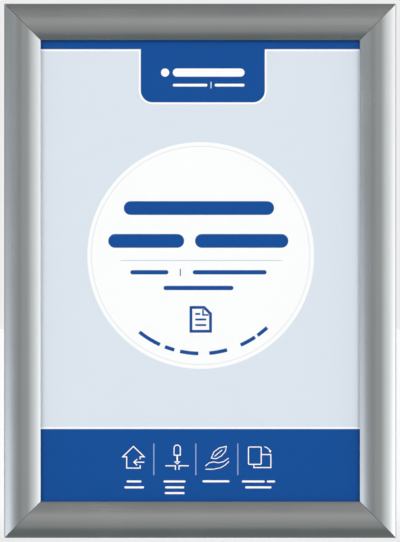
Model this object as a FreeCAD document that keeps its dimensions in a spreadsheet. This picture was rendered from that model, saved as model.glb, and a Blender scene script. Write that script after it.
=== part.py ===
"""A4 snap frame: a shallow aluminium poster frame that is screwed flat to a wall.

Four mitred base rails, joined by corner keys, carry a backing panel in a groove and the poster and its
clear cover sheet on a ledge. Four mitred snap rails hinge on the base rails' outer edge and clamp the
sheets; steel springs hold each one shut or open.

Row frame: the wall is the plane Y = 0, the front faces -Y, Z is up, and the origin is the middle of the
four wall screw holes. A rail is drawn in its own section: u runs inwards from the frame's outer edge and
w runs out from the wall.
"""

import FreeCAD, Part
import math
import os
import re

import Sketcher

Vector = FreeCAD.Vector

# Driving dimensions, in millimetres, and degrees for angles.
SIZES = {
    # What the frame holds, and how far in from the frame's outer edge it lies.
    "sheet_width": 210.0,
    "sheet_height": 297.0,
    "sheet_inset": 15.0,
    "sheet_gap": 0.2,
    "poster_thick": 0.25,
    "cover_thick": 0.4,
    "panel_thick": 1.0,
    "panel_gap": 0.1,
    "panel_edge_gap": 0.3,
    # Overall section.
    "rail_width": 25.0,
    "frame_depth": 12.0,
    # Hinge: a bead on the snap rail turns in a socket on the base rail.
    "hinge_rise": 1.7,
    "bead_radius": 1.3,
    "bead_gap": 0.1,
    "bead_inset": 0.2,
    "bead_end_gap": 0.3,
    "neck_inner_angle": 100.0,
    "neck_outer_angle": 136.0,
    "opening_angle": 95.0,
    "opening_margin": 5.0,
    "closing_margin": 10.0,
    "socket_wall": 0.8,
    # Base rail.
    "base_inset": 0.3,
    "floor_thick": 1.2,
    "anchor_rise": 0.9,
    "anchor_lip": 1.2,
    "anchor_lip_thick": 1.0,
    "web_thick": 1.0,
    "web_rise": 0.55,
    "key_slot_height": 2.2,
    "key_slot_wall": 1.2,
    "roof_thick": 0.9,
    "groove_wall": 2.2,
    "ledge_thick": 0.9,
    # Snap rail.
    "face_width": 22.4,
    "crown_u": 11.5,
    "skin_thick": 1.2,
    "shoulder_radius": 4.0,
    "lip_gap": 0.2,
    "lip_rise": 0.8,
    "lip_width": 1.8,
    "lip_round": 0.4,
    "rib_gap": 0.25,
    "rib_thick": 0.6,
    "hook_room": 0.06,
    "hook_thick": 0.7,
    "hook_rise": 0.5,
    "mitre_gap": 0.15,
    # Springs.
    "spring_thick": 0.4,
    "spring_length": 12.0,
    "spring_bend": 0.3,
    "spring_gap": 0.12,
    "spring_shoulder_radius": 3.6,
    "spring_reach_long": 75.0,
    "spring_reach_short": 45.0,
    # Corner keys.
    "key_gap": 0.1,
    "key_leg": 34.0,
    "key_chamfer": 1.5,
    "key_hole_radius": 1.6,
    "stake_reach": 24.0,
    "stake_radius": 1.2,
    "stake_depth": 0.5,
    # Wall screw holes.
    "screw_u": 8.4,
    "screw_pitch": 250.0,
    "screw_hole_radius": 2.25,
}



def skin_inside(height):
    """How far in the inner face of the snap rail's shoulder lies at a height off the wall."""
    return f"(shoulder_radius - sqrt((shoulder_radius - skin_thick)^2 - ({height} - {SHOULDER_W})^2))"


# Sizes that follow from the driving ones, as expressions on the sheet.
FRAME_WIDTH = "(sheet_width + 2 * sheet_inset)"
FRAME_HEIGHT = "(sheet_height + 2 * sheet_inset)"
SLOT_TOP = "(floor_thick + key_slot_height)"
GROOVE_BOTTOM = f"({SLOT_TOP} + roof_thick)"
GROOVE_TOP = f"({GROOVE_BOTTOM} + panel_thick + 2 * panel_gap)"
LEDGE_TOP = f"({GROOVE_TOP} + ledge_thick)"
POSTER_TOP = f"({LEDGE_TOP} + poster_thick)"
COVER_TOP = f"({POSTER_TOP} + cover_thick)"
WEB_INNER = "(sheet_inset - sheet_gap)"
WEB_OUTER = f"({WEB_INNER} - web_thick)"
SLOT_INNER = "(rail_width - key_slot_wall)"
SLOT_MIDDLE = f"(({WEB_INNER} + {SLOT_INNER}) / 2)"
GROOVE_OUTER = f"({WEB_INNER} + groove_wall)"
LIP_BOTTOM = f"({COVER_TOP} + lip_gap)"
LIP_TOP = f"({LIP_BOTTOM} + lip_rise)"
LIP_OUTER = "(face_width - lip_width)"
HINGE_U = "(bead_radius + bead_inset)"
HINGE_W = "(floor_thick + hinge_rise)"
SOCKET_RADIUS = "(bead_radius + bead_gap)"
SOCKET_OUTER = f"({SOCKET_RADIUS} + socket_wall)"
SOCKET_START = "(neck_outer_angle + opening_angle + opening_margin)"
SOCKET_END = "(neck_inner_angle - closing_margin)"
FACE_DROP = f"(frame_depth - {LIP_TOP})"
FACE_RADIUS = f"(((face_width - crown_u)^2 + {FACE_DROP}^2) / (2 * {FACE_DROP}))"
FACE_CENTRE = f"(frame_depth - {FACE_RADIUS})"
SHOULDER_RISE = f"sqrt(({FACE_RADIUS} - shoulder_radius)^2 - (crown_u - shoulder_radius)^2)"
SHOULDER_W = f"({FACE_CENTRE} + {SHOULDER_RISE})"
RIB_BOTTOM = f"({HINGE_W} + {SOCKET_OUTER} + rib_gap)"
RIB_TOP = f"({RIB_BOTTOM} + rib_thick)"
HOOK_TOP = f"({RIB_TOP} + hook_rise)"
HOOK_U = f"({skin_inside(HOOK_TOP)} + hook_room + spring_thick + spring_gap)"
ANCHOR_TIP = f"({WEB_OUTER} - anchor_lip)"
ANCHOR_BOTTOM = "(floor_thick + anchor_rise)"
ANCHOR_TOP = f"({ANCHOR_BOTTOM} + anchor_lip_thick)"

# Turns about the row's Y axis, as seen from the front, that carry the top rail to each side.
SIDES = {"top": 0, "right": 90, "bottom": 180, "left": 270}
UPRIGHT = ("right", "left")
CORNERS = {"top_right": 0, "bottom_right": 90, "bottom_left": 180, "top_left": 270}

# The two springs of each side, the one towards the rail's own +X first.
SPRING_PLACES = {
    "top": ("left", "right"),
    "right": ("upper", "lower"),
    "bottom": ("right", "left"),
    "left": ("lower", "upper"),
}

doc = FreeCAD.newDocument("SnapFrame")
sheet = doc.addObject("Spreadsheet::Sheet", "Sizes")
parts = []


def fill_sheet():
    """Puts the driving dimensions in the sheet, one aliased cell each."""
    for line, (name, value) in enumerate(SIZES.items(), start=1):
        sheet.set(f"A{line}", name)
        sheet.set(f"B{line}", str(value))
        sheet.setAlias(f"B{line}", name)
    doc.recompute()


def bound(text):
    """An expression on plain size names, as one on the sheet's cells."""
    return re.sub(r"[a-z_]\w*", lambda m: f"Sizes.{m[0]}" if m[0] in SIZES else m[0], text)


def value(text):
    """The number that an expression on size names gives now."""
    result = sheet.evalExpression(bound(text))
    return float(getattr(result, "Value", result))


def tie(thing, path, text):
    """Binds one property of an object to an expression on size names."""
    thing.setExpression(path, bound(text))


class Arc:
    """The round side between two vertices of an outline: its radius, and which way round it goes."""

    def __init__(self, radius, clockwise=False, long_way=False):
        self.radius = radius
        self.clockwise = clockwise
        self.long_way = long_way

    def between(self, start, end):
        """The arc from start to end, from the sizes as they are now. Its parameter runs anticlockwise."""
        radius = value(self.radius)
        chord = end - start
        to_left = Vector(-chord.y, chord.x, 0) / chord.Length
        reach = math.sqrt(max(radius**2 - (chord.Length / 2) ** 2, 0.0))
        if self.clockwise != self.long_way:
            reach = -reach
        centre = (start + end) / 2 + to_left * reach
        first, last = (end, start) if self.clockwise else (start, end)
        from_angle = math.atan2(first.y - centre.y, first.x - centre.x)
        to_angle = math.atan2(last.y - centre.y, last.x - centre.x)
        if to_angle < from_angle:
            to_angle += 2 * math.pi
        return Part.ArcOfCircle(Part.Circle(centre, Vector(0, 0, 1), radius), from_angle, to_angle)


def add_loop(sketch, loop):
    """Adds one closed outline: (u, w) vertices, with an Arc between two of them where a side is round."""
    vertices = [item for item in loop if not isinstance(item, Arc)]
    points = [Vector(value(u), value(w), 0) for u, w in vertices]
    arcs = {}
    seen = 0
    for item in loop:
        if isinstance(item, Arc):
            arcs[seen - 1] = item
        else:
            seen += 1
    sides = []
    for n, start in enumerate(points):
        end = points[(n + 1) % len(points)]
        if n in arcs:
            side = arcs[n].between(start, end)
        else:
            side = Part.LineSegment(start, end)
        sides.append(sketch.addGeometry(side, False))

    def end_at(side, point):
        starts_there = (sketch.Geometry[side].StartPoint - point).Length < 1e-6
        return 1 if starts_there else 2

    for n, (u, w) in enumerate(vertices):
        before, after = sides[n - 1], sides[n]
        here = end_at(after, points[n])
        joint = Sketcher.Constraint("Coincident", before, end_at(before, points[n]), after, here)
        sketch.addConstraint(joint)
        for kind, text, number in (("DistanceX", u, points[n].x), ("DistanceY", w, points[n].y)):
            limit = sketch.addConstraint(Sketcher.Constraint(kind, -1, 1, after, here, number))
            tie(sketch, f"Constraints[{limit}]", text)
    for n, arc in arcs.items():
        limit = sketch.addConstraint(Sketcher.Constraint("Radius", sides[n], value(arc.radius)))
        tie(sketch, f"Constraints[{limit}]", arc.radius)


def add_circle(sketch, x, y, radius):
    """Adds a circle whose centre and radius follow the sheet."""
    circle = Part.Circle(Vector(value(x), value(y), 0), Vector(0, 0, 1), value(radius))
    ring = sketch.addGeometry(circle, False)
    for kind, text in (("DistanceX", x), ("DistanceY", y)):
        limit = sketch.addConstraint(Sketcher.Constraint(kind, -1, 1, ring, 3, value(text)))
        tie(sketch, f"Constraints[{limit}]", text)
    limit = sketch.addConstraint(Sketcher.Constraint("Radius", ring, value(radius)))
    tie(sketch, f"Constraints[{limit}]", radius)


def new_sketch(body, name, plane, offset="0"):
    """A sketch on one of the body's own origin planes, moved along its normal by offset."""
    sketch = body.newObject("Sketcher::SketchObject", name)
    support = next(f for f in body.Origin.OriginFeatures if f.Role == plane)
    sketch.AttachmentSupport = [(support, "")]
    sketch.MapMode = "FlatFace"
    tie(sketch, "AttachmentOffset.Base.z", offset)
    return sketch


def new_body(label):
    """An empty body whose label names its part file."""
    body = doc.addObject("PartDesign::Body", label)
    body.Label = label
    parts.append(body)
    return body


def pad(body, sketch, length, midplane=False):
    """Extrudes a sketch along its normal."""
    feature = body.newObject("PartDesign::Pad", "Pad")
    feature.Profile = sketch
    feature.Midplane = midplane
    tie(feature, "Length", length)
    doc.recompute()
    return feature


def pocket(body, sketch, depth=None, reverse=False, midplane=False):
    """Cuts a sketch out of the body, through all of it unless a depth is given, and checks that it cut."""
    before = body.Shape.Volume
    feature = body.newObject("PartDesign::Pocket", "Pocket")
    feature.Profile = sketch
    feature.Reversed = reverse
    feature.Midplane = midplane
    if depth is None:
        feature.Type = "ThroughAll"
    else:
        tie(feature, "Length", depth)
    doc.recompute()
    if not body.Shape.Volume < before:
        raise RuntimeError(f"{sketch.Name} of {body.Label} cuts nothing")
    return feature


def turn_to(thing, degrees):
    """Turns a piece from its own axes (X along, Y inwards, Z off the wall) to a side or corner."""
    to_top = FreeCAD.Rotation(Vector(-1, 0, 0), Vector(0, 0, -1), Vector(0, -1, 0), "XYZ")
    turn = FreeCAD.Rotation(Vector(0, 1, 0), degrees)
    thing.Placement = FreeCAD.Placement(Vector(0, 0, 0), turn * to_top)


def place_on_side(thing, side):
    """Moves a piece drawn from the middle of a side's outer edge to that side of the frame."""
    turn_to(thing, SIDES[side])
    reach = FRAME_WIDTH if side in UPRIGHT else FRAME_HEIGHT
    sign = "" if side in ("top", "right") else "-"
    axis = "x" if side in UPRIGHT else "z"
    tie(thing, f"Placement.Base.{axis}", f"{sign}{reach} / 2")


def place_at_corner(thing, corner):
    """Moves a piece drawn from the frame's outer corner to that corner of the frame."""
    turn_to(thing, CORNERS[corner])
    tie(thing, "Placement.Base.x", f"{'-' if corner.endswith('left') else ''}{FRAME_WIDTH} / 2")
    tie(thing, "Placement.Base.z", f"{'-' if corner.startswith('bottom') else ''}{FRAME_HEIGHT} / 2")


def rail_length(side):
    """The length of the frame along one side."""
    return FRAME_HEIGHT if side in UPRIGHT else FRAME_WIDTH


def cut_mitres(body, length, gap):
    """Cuts both ends of a rail at 45 degrees, each set back by gap from the corner's diagonal."""
    sketch = new_sketch(body, "Mitres", "XY_Plane")
    past_rail = "(rail_width + face_width)"
    outer = f"({length} / 2 + 1 - {gap})"
    inner = f"({length} / 2 - {past_rail} - {gap})"
    add_loop(sketch, [(outer, "-1"), (outer, past_rail), (inner, past_rail)])
    add_loop(sketch, [(f"-{outer}", "-1"), (f"-{inner}", past_rail), (f"-{outer}", past_rail)])
    pocket(body, sketch, midplane=True)


def around_hinge(radius, angle):
    """The point at a radius and angle from the hinge's axis, in the section."""
    return f"{HINGE_U} + {radius} * cos({angle})", f"{HINGE_W} + {radius} * sin({angle})"


def base_section():
    """The base rail's section: its outline, and the slot for the corner keys inside it."""
    floor_meets_socket = f"{HINGE_U} + sqrt({SOCKET_OUTER}^2 - hinge_rise^2)"
    outline = [
        ("base_inset", "0"),
        ("rail_width", "0"),
        ("rail_width", GROOVE_BOTTOM),
        (GROOVE_OUTER, GROOVE_BOTTOM),
        (GROOVE_OUTER, GROOVE_TOP),
        ("rail_width", GROOVE_TOP),
        ("rail_width", LEDGE_TOP),
        (WEB_INNER, LEDGE_TOP),
        (WEB_INNER, f"{COVER_TOP} + web_rise"),
        (WEB_OUTER, f"{COVER_TOP} + web_rise"),
        (WEB_OUTER, ANCHOR_TOP),
        (ANCHOR_TIP, ANCHOR_TOP),
        (ANCHOR_TIP, ANCHOR_BOTTOM),
        (WEB_OUTER, ANCHOR_BOTTOM),
        (WEB_OUTER, "floor_thick"),
        (floor_meets_socket, "floor_thick"),
        Arc(SOCKET_OUTER),
        around_hinge(SOCKET_OUTER, SOCKET_END),
        around_hinge(SOCKET_RADIUS, SOCKET_END),
        Arc(SOCKET_RADIUS, clockwise=True, long_way=True),
        around_hinge(SOCKET_RADIUS, SOCKET_START),
        ("base_inset", "floor_thick"),
    ]
    slot = [
        (WEB_INNER, "floor_thick"),
        (SLOT_INNER, "floor_thick"),
        (SLOT_INNER, SLOT_TOP),
        (WEB_INNER, SLOT_TOP),
    ]
    return outline, slot


def snap_section():
    """The snap rail's section: a curved skin with a hinge bead, a spring hook and a lip that clamps."""
    lean_u = f"((crown_u - shoulder_radius) / ({FACE_RADIUS} - shoulder_radius))"
    lean_w = f"({SHOULDER_RISE} / ({FACE_RADIUS} - shoulder_radius))"
    inner_radius = f"({FACE_RADIUS} - skin_thick)"
    inner_shoulder = "(shoulder_radius - skin_thick)"
    lip_meets_skin = f"{FACE_CENTRE} + sqrt({inner_radius}^2 - ({LIP_OUTER} - crown_u)^2)"
    return [
        ("0", f"{HINGE_W} + {HINGE_U}"),
        ("0", SHOULDER_W),
        Arc("shoulder_radius", clockwise=True),
        (f"crown_u - {FACE_RADIUS} * {lean_u}", f"{FACE_CENTRE} + {FACE_RADIUS} * {lean_w}"),
        Arc(FACE_RADIUS, clockwise=True),
        ("face_width", LIP_TOP),
        ("face_width", f"{LIP_BOTTOM} + lip_round"),
        Arc("lip_round", clockwise=True),
        ("face_width - lip_round", LIP_BOTTOM),
        (f"{LIP_OUTER} + lip_round", LIP_BOTTOM),
        Arc("lip_round", clockwise=True),
        (LIP_OUTER, f"{LIP_BOTTOM} + lip_round"),
        (LIP_OUTER, lip_meets_skin),
        Arc(inner_radius),
        (f"crown_u - {inner_radius} * {lean_u}", f"{FACE_CENTRE} + {inner_radius} * {lean_w}"),
        Arc(inner_shoulder),
        (skin_inside(RIB_TOP), RIB_TOP),
        (HOOK_U, RIB_TOP),
        (HOOK_U, HOOK_TOP),
        (f"{HOOK_U} + hook_thick", HOOK_TOP),
        (f"{HOOK_U} + hook_thick", RIB_BOTTOM),
        ("skin_thick", RIB_BOTTOM),
        around_hinge("bead_radius", "neck_inner_angle"),
        Arc("bead_radius", clockwise=True, long_way=True),
        around_hinge("bead_radius", "neck_outer_angle"),
    ]


def spring_section():
    """The spring's section: a strip from the snap rail's hook, arching down to under the anchor lip."""
    outer_bend = "(spring_bend + spring_thick)"
    hook_face = f"({HOOK_U} - spring_gap)"
    hook_turn_u = f"({hook_face} + spring_bend)"
    hook_turn_w = f"({HOOK_TOP} + spring_gap - spring_bend)"
    hook_end = f"({RIB_TOP} + spring_gap)"
    arch_top = f"({hook_turn_w} + {outer_bend})"
    tail_face = f"({ANCHOR_TIP} - spring_gap)"
    tail_turn_u = f"({tail_face} + spring_bend)"
    tail_turn_w = f"({ANCHOR_BOTTOM} - spring_gap + spring_bend)"
    tail_end = f"({WEB_OUTER} - spring_gap)"
    arch_turn_u = f"({tail_face} - spring_shoulder_radius)"
    arch_turn_w = f"({arch_top} - spring_shoulder_radius)"
    return [
        (f"{hook_face} - spring_thick", hook_end),
        (f"{hook_face} - spring_thick", hook_turn_w),
        Arc(outer_bend, clockwise=True),
        (hook_turn_u, arch_top),
        (arch_turn_u, arch_top),
        Arc("spring_shoulder_radius", clockwise=True),
        (tail_face, arch_turn_w),
        (tail_face, tail_turn_w),
        Arc("spring_bend"),
        (tail_turn_u, f"{tail_turn_w} - spring_bend"),
        (tail_end, f"{tail_turn_w} - spring_bend"),
        (tail_end, f"{tail_turn_w} - {outer_bend}"),
        (tail_turn_u, f"{tail_turn_w} - {outer_bend}"),
        Arc(outer_bend, clockwise=True),
        (f"{tail_face} - spring_thick", tail_turn_w),
        (f"{tail_face} - spring_thick", arch_turn_w),
        Arc("(spring_shoulder_radius - spring_thick)"),
        (arch_turn_u, f"{arch_top} - spring_thick"),
        (hook_turn_u, f"{arch_top} - spring_thick"),
        Arc("spring_bend"),
        (hook_face, hook_turn_w),
        (hook_face, hook_end),
    ]


def base_rail(side):
    """A mitred base rail. The two upright ones have the wall screw holes."""
    body = new_body(f"base_rail_{side}")
    length = rail_length(side)
    section = new_sketch(body, "Section", "YZ_Plane")
    for loop in base_section():
        add_loop(section, loop)
    pad(body, section, length, midplane=True)
    cut_mitres(body, length, "0")
    if side in UPRIGHT:
        holes = new_sketch(body, "ScrewHoles", "XY_Plane")
        for sign in ("", "-"):
            add_circle(holes, f"{sign}screw_pitch / 2", "screw_u", "screw_hole_radius")
        pocket(body, holes, midplane=True)
    stakes = new_sketch(body, "StakeMarks", "XY_Plane")
    for sign in ("", "-"):
        from_middle = f"{sign}({length} / 2 - {WEB_INNER} - stake_reach)"
        add_circle(stakes, from_middle, SLOT_MIDDLE, "stake_radius")
    pocket(body, stakes, depth="stake_depth", reverse=True)
    place_on_side(body, side)


def snap_rail(side):
    """A mitred snap rail. Its bead stops short of the corners, so that two open rails pass each other."""
    body = new_body(f"snap_rail_{side}")
    length = rail_length(side)
    section = new_sketch(body, "Section", "YZ_Plane")
    add_loop(section, snap_section())
    pad(body, section, length, midplane=True)
    cut_mitres(body, length, "mitre_gap")
    relief = new_sketch(body, "BeadEnds", "XY_Plane", offset=f"{HINGE_W} + {HINGE_U}")
    past_bead = f"({HINGE_U} + bead_radius + bead_end_gap)"
    for sign in ("", "-"):
        near = f"{sign}({length} / 2 - {past_bead})"
        far = f"{sign}({length} / 2 + 1)"
        add_loop(relief, [(near, "-1"), (far, "-1"), (far, past_bead), (near, past_bead)])
    pocket(body, relief)
    place_on_side(body, side)


def snap_spring(side, place, sign):
    """One leaf spring between a base rail and its snap rail, to one side of the rail's middle."""
    body = new_body(f"snap_spring_{side}_{place}")
    reach = "spring_reach_long" if side in UPRIGHT else "spring_reach_short"
    strip = new_sketch(body, "Strip", "YZ_Plane", offset=f"{sign}{reach}")
    add_loop(strip, spring_section())
    pad(body, strip, "spring_length", midplane=True)
    place_on_side(body, side)


def corner_key(corner):
    """A flat L that slides into the slots of two base rails, with a hole in each leg for the stake."""
    body = new_body(f"corner_key_{corner}")
    near = f"({WEB_INNER} + key_gap)"
    across = f"({SLOT_INNER} - key_gap)"
    tip = f"({WEB_INNER} + key_leg)"
    one_leg = [
        (f"{near} + key_chamfer", near),
        (f"{tip} - key_chamfer", near),
        (tip, f"{near} + key_chamfer"),
        (tip, f"{across} - key_chamfer"),
        (f"{tip} - key_chamfer", across),
    ]
    other_leg = [(w, u) for u, w in reversed(one_leg)]
    plate = new_sketch(body, "Plate", "XY_Plane", offset="floor_thick + key_gap")
    add_loop(plate, [*one_leg, (across, across), *other_leg])
    pad(body, plate, "key_slot_height - 2 * key_gap")
    holes = new_sketch(body, "StakeHoles", "XY_Plane")
    along = f"{WEB_INNER} + stake_reach"
    add_circle(holes, along, SLOT_MIDDLE, "key_hole_radius")
    add_circle(holes, SLOT_MIDDLE, along, "key_hole_radius")
    pocket(body, holes, reverse=True)
    place_at_corner(body, corner)


def flat_sheet(label, width, height, thick, bottom):
    """A flat sheet centred on the frame, with its back at height bottom off the wall."""
    box = doc.addObject("Part::Box", label)
    box.Label = label
    tie(box, "Length", width)
    tie(box, "Width", thick)
    tie(box, "Height", height)
    tie(box, "Placement.Base.x", f"-{width} / 2")
    tie(box, "Placement.Base.y", f"-({bottom} + {thick})")
    tie(box, "Placement.Base.z", f"-{height} / 2")
    parts.append(box)


def write_parts():
    """Checks every object and shape, then writes one STEP file for each part."""
    doc.recompute()
    for thing in doc.Objects:
        if {"Invalid", "Error"} & set(thing.State):
            raise RuntimeError(f"{thing.Label} failed: {thing.State}")
    os.makedirs("parts", exist_ok=True)
    for part in parts:
        shape = part.Shape
        if shape.isNull() or not shape.isValid() or not shape.Solids:
            raise RuntimeError(f"{part.Label} has no valid solid")
        shape.exportStep(f"parts/{part.Label}.step")


def main():
    """Builds the frame's pieces in the order they are assembled."""
    fill_sheet()
    for side in SIDES:
        base_rail(side)
    for corner in CORNERS:
        corner_key(corner)
    panel_inset = f"({GROOVE_OUTER} + panel_edge_gap)"
    panel_width = f"({FRAME_WIDTH} - 2 * {panel_inset})"
    panel_height = f"({FRAME_HEIGHT} - 2 * {panel_inset})"
    flat_sheet("backing_panel", panel_width, panel_height, "panel_thick", f"({GROOVE_BOTTOM} + panel_gap)")
    flat_sheet("poster_sheet", "sheet_width", "sheet_height", "poster_thick", LEDGE_TOP)
    flat_sheet("cover_sheet", "sheet_width", "sheet_height", "cover_thick", POSTER_TOP)
    for side in SIDES:
        snap_rail(side)
        for place, sign in zip(SPRING_PLACES[side], ("", "-")):
            snap_spring(side, place, sign)
    write_parts()


main()
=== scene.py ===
"""The looks of a wall snap frame: anodised rails, leaf springs, a printed sheet under its cover, and a studio.

Each class is one sub-assembly. It holds its sizes in millimetres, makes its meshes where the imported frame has
them, and dresses them in procedural finishes. A rail is drawn in its own section: u runs inwards from the
frame's outer edge, and w runs out from the wall.
"""

import logging
import math
from dataclasses import dataclass, field
from enum import Enum
from typing import Any, Callable, Iterable, Mapping, Sequence

import bmesh
import bpy
from mathutils import Matrix, Vector
from mathutils.geometry import tessellate_polygon


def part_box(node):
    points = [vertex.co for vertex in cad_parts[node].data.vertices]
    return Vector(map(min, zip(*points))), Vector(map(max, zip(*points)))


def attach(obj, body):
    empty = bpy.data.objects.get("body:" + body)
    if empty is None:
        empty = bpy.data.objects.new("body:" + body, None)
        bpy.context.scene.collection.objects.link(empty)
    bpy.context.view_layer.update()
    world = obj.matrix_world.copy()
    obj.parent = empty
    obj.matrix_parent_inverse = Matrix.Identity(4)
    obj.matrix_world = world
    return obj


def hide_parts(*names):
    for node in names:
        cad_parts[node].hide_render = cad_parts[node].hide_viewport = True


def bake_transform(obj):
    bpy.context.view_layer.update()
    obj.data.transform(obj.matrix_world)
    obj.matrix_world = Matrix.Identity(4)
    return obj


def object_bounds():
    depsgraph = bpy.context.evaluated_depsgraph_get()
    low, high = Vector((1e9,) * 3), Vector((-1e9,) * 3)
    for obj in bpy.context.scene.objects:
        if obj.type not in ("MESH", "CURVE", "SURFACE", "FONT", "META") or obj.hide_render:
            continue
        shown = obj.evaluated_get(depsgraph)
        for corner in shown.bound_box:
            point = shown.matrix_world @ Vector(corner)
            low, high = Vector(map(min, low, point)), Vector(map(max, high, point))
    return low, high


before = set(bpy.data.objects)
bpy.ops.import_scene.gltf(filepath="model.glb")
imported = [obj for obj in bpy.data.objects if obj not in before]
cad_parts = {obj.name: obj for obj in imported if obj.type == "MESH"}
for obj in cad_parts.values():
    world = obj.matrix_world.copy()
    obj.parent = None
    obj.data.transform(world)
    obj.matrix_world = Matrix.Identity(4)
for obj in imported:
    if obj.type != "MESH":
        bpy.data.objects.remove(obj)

CAD_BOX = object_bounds()
MM = 0.001
LOG = logging.getLogger("snap_frame")

Point = tuple[float, float]
Loop = list[Point]
Colour = tuple[float, float, float]
Ring = Sequence[bmesh.types.BMVert]


def srgb(red: int, green: int, blue: int) -> Colour:
    """Turns a colour as a screen shows it into the linear one that shaders take.

    Args:
        red: Red, 0 to 255.
        green: Green, 0 to 255.
        blue: Blue, 0 to 255.

    Returns:
        The three linear parts, 0 to 1.
    """

    def linear(part: int) -> float:
        """One part of the colour."""
        share = part / 255
        return share / 12.92 if share <= 0.04045 else ((share + 0.055) / 1.055) ** 2.4

    return linear(red), linear(green), linear(blue)


def toned(colour: Colour, share: float) -> Colour:
    """The colour with each part taken times a share, up to 1."""
    return tuple(min(1.0, share * part) for part in colour)


# ---------------------------------------------------------------------------------------------- shader graphs


class Wire:
    """A node's output that Python's operators can do sums with, each adding its Math node."""

    def __init__(self, graph: "Graph", socket: bpy.types.NodeSocket) -> None:
        """Wraps an output socket of a graph."""
        self.graph = graph
        self.socket = socket

    def _sum(self, operation: str, first: Any, second: Any) -> "Wire":
        """Adds a Math node on two values, either of them a wire or a number."""
        return self.graph.add("ShaderNodeMath", {"operation": operation}, {0: first, 1: second})

    def __add__(self, other: Any) -> "Wire":
        """self + other."""
        return self._sum("ADD", self, other)

    def __radd__(self, other: Any) -> "Wire":
        """other + self."""
        return self._sum("ADD", other, self)

    def __sub__(self, other: Any) -> "Wire":
        """self - other."""
        return self._sum("SUBTRACT", self, other)

    def __rsub__(self, other: Any) -> "Wire":
        """other - self."""
        return self._sum("SUBTRACT", other, self)

    def __mul__(self, other: Any) -> "Wire":
        """self * other."""
        return self._sum("MULTIPLY", self, other)

    def __rmul__(self, other: Any) -> "Wire":
        """other * self."""
        return self._sum("MULTIPLY", other, self)

    def __pow__(self, other: Any) -> "Wire":
        """self ** other."""
        return self._sum("POWER", self, other)

    def within(self, low: float, high: float) -> "Wire":
        """The value held between low and high."""
        return self._sum("MINIMUM", self._sum("MAXIMUM", self, low), high)


class Graph:
    """The node tree of one material or of the world, being filled."""

    def __init__(self, tree: bpy.types.NodeTree) -> None:
        """Empties the tree."""
        self.tree = tree
        tree.nodes.clear()

    def add(
        self,
        kind: str,
        settings: Mapping[str, Any] | None = None,
        sockets: Mapping[int | str, Any] | None = None,
        output: int | str = 0,
    ) -> Wire:
        """Adds any node.

        Args:
            kind: The node's type.
            settings: The node's own settings, set first.
            sockets: Values or wires for its input sockets, by name or number.
            output: Which output to give back.

        Returns:
            The wire at that output.
        """
        node = self.tree.nodes.new(kind)
        for name, setting in (settings or {}).items():
            setattr(node, name, setting)
        for name, given in (sockets or {}).items():
            if isinstance(given, Wire):
                self.tree.links.new(given.socket, node.inputs[name])
            else:
                node.inputs[name].default_value = given
        return Wire(self, node.outputs[output]) if node.outputs else Wire(self, None)

    def place(self, scale: tuple[float, float, float]) -> Wire:
        """The point on the surface in the row frame, in metres, times a scale for each axis."""
        point = self.add("ShaderNodeTexCoord", output="Object")
        return self.add("ShaderNodeMapping", {"vector_type": "POINT"}, {"Vector": point, "Scale": scale})

    def even_noise(self, scale: float, detail: float = 2.0, roughness: float = 0.5) -> Wire:
        """Soft noise from 0 to 1, at the same scale along each axis, in cycles a metre."""
        return self.noise(self.place((scale, scale, scale)), detail, roughness)

    def noise(self, vector: Wire, detail: float = 2.0, roughness: float = 0.5) -> Wire:
        """Soft noise from 0 to 1 at a scale of one on a vector."""
        sockets = {"Vector": vector, "Scale": 1.0, "Detail": detail, "Roughness": roughness}
        return self.add("ShaderNodeTexNoise", {"noise_dimensions": "3D"}, sockets, output=0)

    def blend(self, share: Any, first: Any, second: Any) -> Wire:
        """A colour that goes from the first to the second as share goes from 0 to 1."""
        sockets = {0: share, 6: self._rgba(first), 7: self._rgba(second)}
        return self.add("ShaderNodeMix", {"data_type": "RGBA"}, sockets, output=2)

    def bump(self, height: Wire, strength: float, distance: float) -> Wire:
        """The normal of a surface raised by height, up to a distance in metres."""
        sockets = {"Strength": strength, "Distance": distance, "Height": height}
        return self.add("ShaderNodeBump", sockets=sockets)

    def principled(self, sockets: Mapping[str, Any]) -> Wire:
        """The one shader that every finish is made of."""
        return self.add("ShaderNodeBsdfPrincipled", sockets=sockets)

    @staticmethod
    def _rgba(colour: Any) -> Any:
        """A colour with its fourth part, or a wire as it is."""
        return colour if isinstance(colour, Wire) else (*colour, 1.0)


# --------------------------------------------------------------------------------------------------- finishes


class Run(Enum):
    """Which way a piece was drawn or rolled, so which way its fine lines run."""

    ACROSS = (1, 0, 0)
    UPRIGHT = (0, 0, 1)

    def stretch(self, along: float, crosswise: float) -> tuple[float, float, float]:
        """The scales that draw a texture out along this direction."""
        return tuple(along if here else crosswise for here in self.value)


@dataclass(frozen=True)
class Finish:
    """What a surface is made of. Each finish makes its material once."""

    name: str

    def material(self) -> bpy.types.Material:
        """Makes the finish's material at its first use.

        Returns:
            The material.
        """
        found = bpy.data.materials.get(self.name)
        if found is not None:
            return found
        made = bpy.data.materials.new(self.name)
        made.use_nodes = True
        graph = Graph(made.node_tree)
        surface = self.surface(graph)
        graph.add("ShaderNodeOutputMaterial", sockets={"Surface": surface})
        return made

    def surface(self, graph: Graph) -> Wire:
        """The finish's shader."""
        raise NotImplementedError

    def dress(self, thing: bpy.types.Object) -> bpy.types.Object:
        """Gives a thing this finish alone.

        Args:
            thing: The thing.

        Returns:
            The same thing.
        """
        thing.data.materials.clear()
        thing.data.materials.append(self.material())
        return thing


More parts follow.
